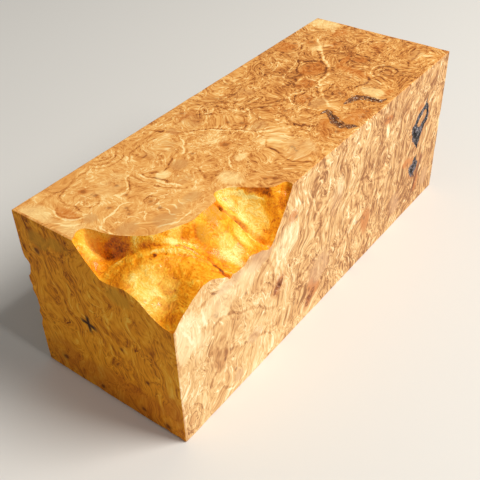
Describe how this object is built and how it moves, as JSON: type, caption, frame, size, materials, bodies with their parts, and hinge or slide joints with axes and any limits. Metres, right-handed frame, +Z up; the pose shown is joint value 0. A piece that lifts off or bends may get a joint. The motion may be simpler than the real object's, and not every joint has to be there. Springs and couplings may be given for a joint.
{
  "type": "maple burl turning blank",
  "caption": "Sawn block of maple burl wood for turning, square in section, with the burl's lumpy natural skin left on one top corner.",
  "frame": {"origin": "centre of the bottom face of the block's bounding box, which is the sawn face it rests on", "axes": "+X along the block's length, away from the end where the natural skin is; +Z up; the sawn side that carries the skin's lower edge faces -Y"},
  "size_m": [0.203, 0.0734, 0.0765],
  "materials": {
    "burl_wood": "sawn and sanded smooth with a thin wax coat; the natural skin in the corner is glossy amber"
  },
  "bodies": {
    "root": {"burl_block": "burl_wood"}
  },
  "joints": []
}
